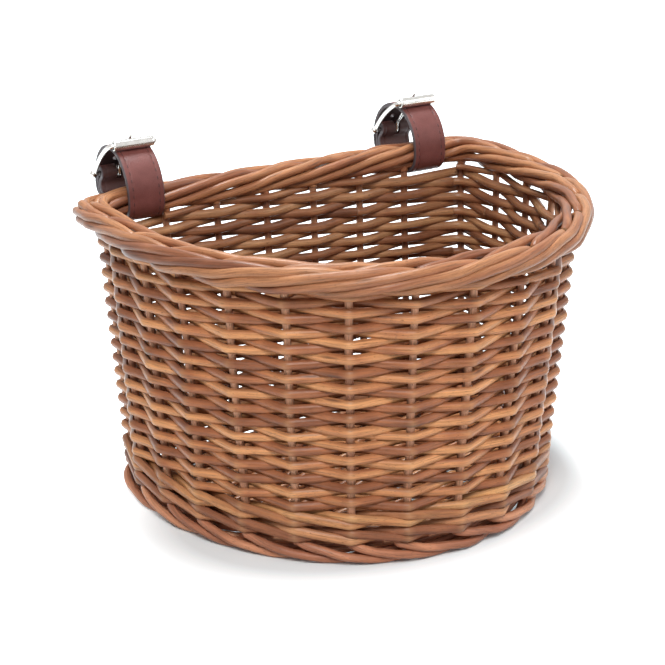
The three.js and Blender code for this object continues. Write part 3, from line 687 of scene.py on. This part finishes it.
# The loop lies in a plane across the handlebar: first column to the back, second up, from the border's centre line.
strapLook = dict(width=20.0, thick=2.4, inner=8.9, loopRadius=22.0, loopLift=3.0, layerGap=0.35, tail=48, cell=0.8,
                 heelAngle=18, rollerAngle=109, pin=1.8, edgeRound=0.75, stitchPitch=3.9, stitchFrom=7.2, groove=0.2,
                 holePitch=11.0, holes=3, holeRoom=3.6, slotAngle=84, slotReach=12, usedHole=90.5, foldRun=19.0,
                 tipRound=9.0, sewnRound=3.0, crown=0.1, stitchHalf=1.25, stitchRise=(-0.3, 0.03, 0.03, -0.3),
                 threadSize=(0.3, 0.22))
buckleLook = dict(wire=2.6, sideGap=1.5, corner=2.4, bow=2.0, rollerThick=5.5, rollerHalf=11.2, prongReach=4.2,
                  prongGap=0.3, prongHalf=1.1, eye=1.95, sides=14, beadOut=0.6, beadHalf=2.1, beadRadius=2.05,
                  rollerSides=28)
strapMiddle = {side: sum(corner[0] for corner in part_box("strap_" + side)) / 2 / toMetres - shift[0]
               for side in ("right", "left")}
bandHalf = strapLook["thick"] / 2
loopRadius = strapLook["loopRadius"]
bendRadius = strapLook["inner"] + bandHalf
layerStep = strapLook["thick"] + strapLook["layerGap"]
loopCentre = np.array([loopRadius - bendRadius, strapLook["loopLift"]])
innerRadius = loopRadius - layerStep
lowCentre = np.array([loopCentre[0] + innerRadius - bendRadius - strapLook["loopLift"], strapLook["loopLift"]])
lowRadius = bendRadius + strapLook["loopLift"]
heelRadius = innerRadius - bandHalf - strapLook["pin"]


def polar(centre, radius, degrees):
    angle = np.radians(degrees)
    return np.stack([centre[0] + radius * np.cos(angle), centre[1] + radius * np.sin(angle)], -1)


def arcPath(centre, radius, start, end):
    steps = max(2, int(abs(end - start) / 2))
    return polar(centre, radius, np.linspace(start, end, steps))


heelPlace = polar(loopCentre, heelRadius, strapLook["heelAngle"])
rollerRadius = loopRadius + bandHalf + strapLook["layerGap"] + buckleLook["rollerThick"] / 2
rollerPlace = polar(loopCentre, rollerRadius, strapLook["rollerAngle"])
frameLength = float(np.linalg.norm(rollerPlace - heelPlace))
frameWay = math.atan2(*(rollerPlace - heelPlace)[::-1])
prongLift = buckleLook["rollerThick"] / 2 + buckleLook["prongGap"] + buckleLook["prongHalf"]
prongWay = frameWay - math.asin(prongLift / frameLength)


# A place in the strap's own plane, set beside the border.
def fromLoop(side, x, flat):
    flat = np.asarray(flat)
    return np.stack([np.broadcast_to(x, flat.shape[:-1]) + strapMiddle[side], flat[..., 0],
                     wall["rimHeight"] + flat[..., 1]], -1)


# The band's middle line from its sewn end, round the heel bar, under the border, over the bar and down the back.
def strapLine():
    eye = strapLook["pin"] + bandHalf
    heel = strapLook["heelAngle"]
    inside = strapLook["thick"] + 0.05
    fold = np.concatenate([
        arcPath(lowCentre, lowRadius - inside, -34, -2),
        throughPoints([polar(loopCentre, innerRadius - inside, 0), polar(loopCentre, innerRadius - inside - 1.6, 9),
                       polar(heelPlace, eye, heel + 180)], 8)[:-1],
        arcPath(heelPlace, eye, heel + 180, heel)])
    main = np.concatenate([
        arcPath(loopCentre, innerRadius, heel, 0)[1:], arcPath(lowCentre, lowRadius, 0, -90)[1:],
        arcPath(np.zeros(2), bendRadius, -90, -180)[1:], arcPath(loopCentre, loopRadius, 180, 0)[1:],
        arcPath(lowCentre, lowRadius + layerStep, 0, -strapLook["tail"])[1:]])
    line = np.concatenate([fold, main])
    run = runOf(line)
    stops = np.linspace(0, run[-1], int(round(run[-1] / strapLook["cell"])) + 1)
    line = rowsAt(stops, run, line)
    smooth = line.copy()
    smooth[2:-2] = (line[:-4] + line[1:-3] + line[2:-2] + line[3:-1] + line[4:]) / 5
    return smooth, stops


# Two skins of a band on one grid, joined at the rim and round the punched cells.
# A hole's cells are left out and the grid around it is drawn from a square to a circle.
def makeStrap(side):
    line, run = strapLine()
    rows = len(line)
    half = strapLook["width"] / 2
    columns = np.concatenate([np.arange(0, 6.5, strapLook["cell"]),
                              [6.75, 7.0, 7.2, 7.4, 7.65, 8.2, 8.8, 9.25, 9.55, 9.8, 9.95, half]])
    columns = np.concatenate([-columns[:0:-1], columns])
    middle = len(columns) // 2
    place = np.arange(rows)
    alongGrid, acrossGrid = np.meshgrid(run, columns, indexing="ij")
    keep = np.ones((rows - 1, len(columns) - 1), bool)
    # the main loop's part of the line starts where its own angle is 180 and runs to 0
    angle = np.degrees(np.arctan2(line[:, 1] - loopCentre[1], line[:, 0] - loopCentre[0]))
    radius = np.linalg.norm(line - loopCentre, axis=1)
    onLoop = (np.abs(radius - loopRadius) < 0.25) & (angle > 2) & (place > rows * 0.4)
    for i in range(1, strapLook["holes"] + 1):
        wanted = strapLook["usedHole"] - math.degrees(i * strapLook["holePitch"] / loopRadius)
        centre = int(np.argmin(np.where(onLoop, np.abs(angle - wanted), 1e9)))
        keep[centre - 2:centre + 2, middle - 2:middle + 2] = False
        dx, dy = alongGrid - run[centre], acrossGrid
        reach = np.maximum(np.abs(dx), np.abs(dy))
        pull = np.clip((strapLook["holeRoom"] - reach) / 2.0, 0, 1)
        scale = reach / np.maximum(np.hypot(dx, dy), 1e-9)
        scale = 1 + pull * (scale - 1)
        alongGrid, acrossGrid = run[centre] + dx * scale, dy * scale
    # slots for the prong: round the heel bar and through the outer layer under the roller
    eyeRow = np.linalg.norm(line - heelPlace, axis=1) < strapLook["pin"] + bandHalf + 0.35
    eyeRow &= place < rows * 0.4
    slotRow = onLoop & (np.abs(angle - strapLook["slotAngle"]) < strapLook["slotReach"])
    for rowMask in (eyeRow, slotRow):
        cells = np.flatnonzero(rowMask[:-1] & rowMask[1:])
        keep[cells.min():cells.max() + 1, middle - 2:middle + 2] = False
    x = acrossGrid.copy()
    # the tail's tip is rounded, and the sewn end's corners a little
    fromTip = (run[-1] - alongGrid) / strapLook["tipRound"]
    x *= np.where(fromTip < 1, np.sqrt(np.clip(1 - (1 - fromTip) ** 2, 0.02, 1)), 1)
    fromSewn = alongGrid / strapLook["sewnRound"]
    x *= np.where(fromSewn < 1, 0.92 + 0.08 * np.sqrt(np.clip(1 - (1 - fromSewn) ** 2, 0, 1)), 1)
    centres = rowsAt(alongGrid, run, line)
    way = unit(np.gradient(line, axis=0))
    normal = np.stack([-way[:, 1], way[:, 0]], 1)
    normals = unit(rowsAt(alongGrid, run, normal))
    # half the thickness: rounded at the edges, a groove where it is stitched, a slight crown between
    edgeRound = strapLook["edgeRound"]
    edge = np.clip((np.abs(acrossGrid) - (half - edgeRound)) / edgeRound, 0, 1)
    groove = np.exp(-((np.abs(acrossGrid) - strapLook["stitchFrom"]) / 0.45) ** 2)
    crown = strapLook["crown"] * np.cos(np.clip(acrossGrid / strapLook["stitchFrom"], -1, 1) * math.pi / 2)
    thick = bandHalf - edgeRound * (1 - np.sqrt(1 - 0.98 * edge ** 2)) - strapLook["groove"] * groove + crown
    rimEnd = np.minimum(np.minimum(run[-1] - alongGrid, alongGrid) / 0.8, 1)
    thick = thick * (0.55 + 0.45 * np.sqrt(np.clip(1 - (1 - rimEnd) ** 2, 0, 1)))
    skins = []
    for sign in (1, -1):
        skins.append(fromLoop(side, x, centres + normals * (sign * thick)[..., None]).reshape(-1, 3))
    wide = len(columns)
    points = np.concatenate(skins)
    index = np.arange(rows * wide).reshape(rows, wide)
    a, b, c, d = index[:-1, :-1], index[1:, :-1], index[1:, 1:], index[:-1, 1:]
    under = rows * wide
    quads = [np.stack([b, c, d, a], -1)[keep], np.stack([d, c, b, a], -1)[keep] + under]
    # every kept cell's side that has no kept neighbour gets a wall between the skins
    padded = np.pad(keep, 1)
    for di, dj, p, q in ((-1, 0, a, d), (1, 0, c, b), (0, -1, b, a), (0, 1, d, c)):
        bare = keep & ~padded[1 + di:rows + di, 1 + dj:wide + dj]
        quads.append(np.stack([q, q + under, p + under, p], -1)[bare])
    quads = np.concatenate(quads)
    used, quads = np.unique(quads, return_inverse=True)
    place = np.stack([alongGrid, acrossGrid, np.ones_like(alongGrid)], -1).reshape(-1, 3)
    place = np.concatenate([place, place * [1, 1, -1]])[used]
    # marks: the outer skin, the share of the width and the sewn fold, where painted shade darkens the flap inside the
    # loop
    fold = np.clip((strapLook["foldRun"] - place[:, 0]) / 2, 0, 1)
    mark = np.stack([place[:, 2], np.abs(place[:, 1]) / half, fold], 1)
    shape = dict(points=points[used], quads=quads.reshape(-1, 4), tris=noTris, place=place, mark=mark)
    addPiece("leatherStrap_" + side, [shape], strapMaterial, "strap_" + side, ["strap_" + side], 40)
    makeStitches(side, line, run, normal)


# Short threads that dip into the leather at both ends.
def makeStitches(side, line, run, normal):
    parts = []
    stops = np.arange(4.0, run[-1] - 9.5, strapLook["stitchPitch"])
    high = bandHalf - strapLook["groove"] + np.array(strapLook["stitchRise"])
    for sign in (1, -1):
        for across in (-strapLook["stitchFrom"], strapLook["stitchFrom"]):
            for stop in stops:
                spots = stop + np.linspace(-1, 1, 4) * strapLook["stitchHalf"]
                lift = rowsAt(spots, run, normal)
                centres = fromLoop(side, across, rowsAt(spots, run, line) + lift * (sign * high)[:, None])
                hint = np.concatenate([np.zeros((4, 1)), lift], 1)
                parts.append(sweep(centres, hint, *strapLook["threadSize"], 5, rng.uniform()))
    addPiece("strapStitches_" + side, parts, threadMaterial, "strap_" + side, [])
    print("strap", side, "stitches:", len(parts))


# Pebbled leather: small cells for the grain, slow patches of wear, near-black painted edges, a darker flesh side and
# painted shade on the sewn fold inside the loop.
def makeLeather():
    material, tree, shader = newMaterial("strapLeather")
    place = addNode(tree, "ShaderNodeTexCoord").outputs["Object"]
    marks = split(tree, attribute(tree, "mark"))
    patch = noise(tree, place, 140.0, 5.0)
    pebble = addNode(tree, "ShaderNodeTexVoronoi", {"Vector": place, "Scale": 1500.0}).outputs["Distance"]
    fine = noise(tree, place, 2600.0, 3.0)
    patches = ramp(tree, patch, [(0.35, 0.0), (0.7, 1.0)])
    body = mixColor(tree, patches, (0.142, 0.04, 0.034, 1), (0.185, 0.056, 0.048, 1))
    body = mixColor(tree, ramp(tree, fine, [(0.35, 0.35), (0.65, 0.0)]), body, (0.08, 0.024, 0.021, 1))
    body = mixColor(tree, ramp(tree, marks["X"], [(0.3, 1.0), (0.7, 0.0)]), body, (0.045, 0.026, 0.026, 1))
    # painted shade: the sewn fold faces the inside of the loop and is darkened there
    body = mixColor(tree, math2(tree, "MULTIPLY", marks["Z"], 0.8), body, (0.05, 0.024, 0.022, 1))
    body = mixColor(tree, ramp(tree, marks["Y"], [(0.935, 0.0), (0.975, 1.0)]), body, (0.091, 0.07, 0.076, 1))
    height = math2(tree, "ADD", math2(tree, "MULTIPLY", pebble, 0.6), math2(tree, "MULTIPLY", fine, 0.5))
    dress(tree, shader, 0.5, 0.00025, height,
          {"Base Color": body, "Roughness": toRange(tree, patch, 0.42, 0.62), "Specular IOR Level": 0.35})
    return material


# Waxed thread: two plies, seen as a fine wave along each stitch.
def makeThread():
    material, tree, shader = newMaterial("strapThread")
    twist = addNode(tree, "ShaderNodeTexWave", {"Vector": attribute(tree, "place"), "Scale": 900.0, "Distortion": 0.5})
    body = mixColor(tree, twist.outputs["Fac"], (0.07, 0.02, 0.018, 1), (0.035, 0.01, 0.009, 1))
    dress(tree, shader, 0.4, 0.0001, twist.outputs["Fac"], {"Base Color": body, "Roughness": 0.7})
    return material


# Plated steel: bright, with fine polishing lines and a few dull spots.
def makeNickel():
    material, tree, shader = newMaterial("buckleNickel")
    place = addNode(tree, "ShaderNodeTexCoord").outputs["Object"]
    cloud = noise(tree, place, 220.0, 6.0)
    scratch = noise(tree, scaled(tree, place, (300, 3000, 3000)), 0.4, 1.0)
    spots = ramp(tree, cloud, [(0.4, 0.0), (0.75, 1.0)])
    body = mixColor(tree, spots, (0.74, 0.72, 0.69, 1), (0.5, 0.475, 0.44, 1))
    dress(tree, shader, 0.05, 0.00002, scratch,
          {"Base Color": body, "Metallic": 1.0, "Roughness": toRange(tree, cloud, 0.12, 0.26)})
    return material


strapMaterial = makeLeather()
threadMaterial = makeThread()
nickelMaterial = makeNickel()


# Buckles

def makeBuckle(side):
    along = np.array([math.cos(frameWay), math.sin(frameWay)])
    outward = np.array([along[1], -along[0]])
    half = strapLook["width"] / 2 + buckleLook["sideGap"] + buckleLook["wire"] / 2
    corner = buckleLook["corner"]
    # the wire is a rectangle with round corners, its arms bowed away from the strap
    arm = np.linspace(corner, frameLength - corner, 14)[1:-1]
    xs, ys = [], []
    for sx, sy, start in ((1, 0, -90), (1, 1, 0), (-1, 1, 90), (-1, 0, 180)):
        angle = np.radians(np.linspace(start, start + 90, 7))
        xs.append(sx * (half - corner) + corner * np.cos(angle))
        ys.append((frameLength - corner if sy else corner) + corner * np.sin(angle))
        if (sx > 0) != (sy > 0):
            xs.append(np.full(len(arm), sx * half))
            ys.append(arm if sx > 0 else np.linspace(frameLength - corner, corner, 14)[1:-1])
    xs, ys = np.concatenate(xs), np.concatenate(ys)
    bow = 4 * buckleLook["bow"] * ys * (frameLength - ys) / frameLength ** 2
    flat = heelPlace + along * ys[:, None] + outward * bow[:, None]
    hints = np.array([0, outward[0], outward[1]])
    parts = [hoop(fromLoop(side, xs, flat), hints, buckleLook["wire"] / 2, buckleLook["wire"] / 2, buckleLook["sides"])]
    # a turned bead closes each end of the heel bar
    run = np.linspace(0, math.pi, 12)
    radius = buckleLook["beadRadius"] * np.sin(np.clip(run, 0.12, math.pi - 0.12)) ** 0.7
    for way in (1, -1):
        x = way * (half + buckleLook["beadOut"]) - buckleLook["beadHalf"] * np.cos(run)
        parts.append(sweep(fromLoop(side, x, np.broadcast_to(heelPlace, (12, 2))), up, radius, radius, 16))
    addPiece("buckleWire_" + side, parts, nickelMaterial, "buckle_frame_" + side,
             ["buckle_frame_" + side], 60)
    # the roller is a rolled sleeve with turned-in ends; one half's profile is the other's mirrored
    r = buckleLook["rollerThick"] / 2
    h = buckleLook["rollerHalf"]
    low = [(-h + 0.9, 1.7), (-h + 0.15, 1.75), (-h, 2.1), (-h + 0.12, r - 0.25), (-h + 0.5, r - 0.03),
           (-h + 1.2, r), (-4, r)]
    profile = np.array(low + [(-x, radius) for x, radius in reversed(low)])
    angle = fullTurn * np.arange(buckleLook["rollerSides"]) / buckleLook["rollerSides"]
    across = profile[:, 1:2]
    flat = np.stack([rollerPlace[0] + across * np.cos(angle)[None], rollerPlace[1] + across * np.sin(angle)[None]], -1)
    points = fromLoop(side, profile[:, :1], flat).reshape(-1, 3)
    quads = np.roll(ringQuads(len(profile), len(angle), True), -1, 1)
    shape = dict(points=points, quads=quads, tris=noTris, place=points * 1.0, mark=np.zeros_like(points))
    addPiece("buckleRoller_" + side, [shape], nickelMaterial, "buckle_roller_" + side,
             ["buckle_roller_" + side], 35)
    # the prong is wire wrapped round the heel bar, flattened and drawn to a tip that rests on the roller
    curl = np.radians(np.linspace(200, -60, 20)) + prongWay + math.pi / 2
    wrap = heelPlace + buckleLook["eye"] * 1.25 * np.stack([np.cos(curl), np.sin(curl)], 1)
    forward = np.array([math.cos(prongWay), math.sin(prongWay)])
    sideways = np.array([-forward[1], forward[0]])
    reach = np.linspace(4.5, frameLength + buckleLook["prongReach"], 14)
    dip = -0.9 * np.clip((reach - frameLength - 1) / 4, 0, 1) ** 2
    shaft = heelPlace + forward * reach[:, None] + sideways * dip[:, None]
    line = throughPoints(np.concatenate([wrap, shaft])[::2], 3)
    widths = np.array([(1.1, 0.8), (1.15, 0.95), (1.1, 0.85), (0.8, 0.6), (0.45, 0.35)])
    wide, deep = rowsAt(np.linspace(0, 1, len(line)), [0, 0.3, 0.8, 0.97, 1], widths).T
    tangent = unit(np.gradient(line, axis=0))
    hints = np.stack([np.zeros(len(line)), -tangent[:, 1], tangent[:, 0]], 1)
    addPiece("bucklePin_" + side, [sweep(fromLoop(side, 0.0, line), hints, wide, deep, 12)], nickelMaterial,
             "buckle_prong_" + side, ["buckle_prong_" + side], 60)
    print("buckle", side, "done")


makeStakes()
makeWale()
makeWeave()
makeTopBorder()
makeFootBorder()
makeBase()
for side in ("right", "left"):
    makeStrap(side)
    makeBuckle(side)


# Floor, lights, camera

stageLook = dict(floorHalf=6.0, floorColor=(0.82, 0.868, 0.893, 1), bounceColor=(0.66, 0.66, 0.67, 1), nearGlow=0.02,
                 farGlow=0.9, glowFrom=0.11, glowTo=0.155, ovalScale=(1, 1.37, 0), ovalShift=(0, 0.014, 0),
                 worldLight=0.3, sky=(0.93, 0.96, 1.0, 1), white=(1, 1, 1, 1))


# The rays that show the white surroundings: the camera's, and those mirrored or let through.
def shownRays(tree):
    seen = addNode(tree, "ShaderNodeLightPath").outputs
    shown = math2(tree, "MAXIMUM", seen["Is Camera Ray"], seen["Is Glossy Ray"])
    return seen, math2(tree, "MAXIMUM", shown, seen["Is Transmission Ray"])


def makeStage():
    size = stageLook["floorHalf"]
    mesh = bpy.data.meshes.new("floor")
    mesh.from_pydata([(-size, -size, 0), (size, -size, 0), (size, size, 0), (-size, size, 0)], [], [(0, 1, 2, 3)])
    floor = bpy.data.objects.new("floor", mesh)
    bpy.context.scene.collection.objects.link(floor)
    material, tree, shader = newMaterial("paleFloor")
    seen, shown = shownRays(tree)
    # painted light and shade: the floor's glow is held low in an oval round the foot, where the basket's shadow shows,
    # and whitens the floor away from the basket; the floor bounces less light than it shows
    place = addNode(tree, "ShaderNodeTexCoord").outputs["Object"]
    oval = addNode(tree, "ShaderNodeVectorMath", {0: place, 1: stageLook["ovalScale"], 2: stageLook["ovalShift"]},
                   operation="MULTIPLY_ADD").outputs[0]
    away = addNode(tree, "ShaderNodeVectorMath", {0: oval}, operation="LENGTH").outputs["Value"]
    glow = toRange(tree, away, stageLook["nearGlow"], stageLook["farGlow"], stageLook["glowFrom"], stageLook["glowTo"])
    fill(tree, shader, {
        "Base Color": mixColor(tree, seen["Is Diffuse Ray"], stageLook["floorColor"], stageLook["bounceColor"]),
        "Roughness": 0.9, "Specular IOR Level": 0.1, "Emission Color": stageLook["white"],
        "Emission Strength": math2(tree, "MULTIPLY", shown, glow)})
    mesh.materials.append(material)
    world = bpy.data.worlds.new("studio")
    bpy.context.scene.world = world
    world.use_nodes = True
    tree = world.node_tree
    tree.nodes.clear()
    seen, shown = shownRays(tree)
    light = addNode(tree, "ShaderNodeBackground", {"Color": stageLook["sky"], "Strength": stageLook["worldLight"]})
    white = addNode(tree, "ShaderNodeBackground", {"Color": stageLook["white"], "Strength": 1.0})
    mix = addNode(tree, "ShaderNodeMixShader", {0: shown, 1: light.outputs[0], 2: white.outputs[0]})
    addNode(tree, "ShaderNodeOutputWorld", {0: mix.outputs[0]})
    print("stage done")


# Place, size in metres, watts and colour. Each lamp is turned to the basket's middle.
lampLook = dict(
    keyLamp=((-0.58, -0.95, 1.3), 0.7, 19.5, (1.0, 0.98, 0.95)),
    fillLamp=((1.2, -0.9, 0.9), 1.2, 7, (0.96, 0.98, 1.0)),
    topLamp=((0.1, 0.4, 1.5), 0.5, 27, (0.86, 0.97, 1.0)))
lampTarget = (0, 0, 0.08)


def makeLamps():
    for name, (place, size, power, color) in lampLook.items():
        data = bpy.data.lights.new(name, "AREA")
        data.shape = "DISK"
        data.size = size
        data.energy = power
        data.color = color
        lamp = bpy.data.objects.new(name, data)
        lamp.location = place
        direction = np.array(lampTarget) - np.array(place)
        yaw = math.atan2(direction[0], -direction[1])
        pitch = math.atan2(math.hypot(direction[0], direction[1]), -direction[2])
        lamp.rotation_euler = (pitch, 0, yaw + math.pi)
        bpy.context.scene.collection.objects.link(lamp)


# The camera as measured: turned 29 degrees to the basket's left, 21 degrees above, 0.9 m away.
cameraLook = dict(turn=-0.508, rise=0.362, roll=-0.019, focalPixels=1692.2, picturePixels=665, sensor=36, away=902.98,
                  target=(-0.106, -49.298, 75.446))


def makeCamera():
    turn, rise, roll = cameraLook["turn"], cameraLook["rise"], cameraLook["roll"]
    back = np.array([math.sin(turn) * math.cos(rise), -math.cos(turn) * math.cos(rise), math.sin(rise)])
    right = np.array([math.cos(turn), math.sin(turn), 0])
    top = np.cross(right, -back)
    right, top = right * math.cos(roll) + top * math.sin(roll), -right * math.sin(roll) + top * math.cos(roll)
    place = (np.array(cameraLook["target"]) + shift + back * cameraLook["away"]) * toMetres
    data = bpy.data.cameras.new("camera")
    data.sensor_width = cameraLook["sensor"]
    data.lens = cameraLook["focalPixels"] / cameraLook["picturePixels"] * cameraLook["sensor"]
    data.clip_start = 0.05
    camera = bpy.data.objects.new("camera", data)
    camera.matrix_world = Matrix([[right[i], top[i], back[i], place[i]] for i in range(3)] + [[0, 0, 0, 1]])
    bpy.context.scene.collection.objects.link(camera)
    bpy.context.scene.camera = camera


makeStage()
makeLamps()
makeCamera()

bpy.context.scene.view_settings.view_transform = "Standard"
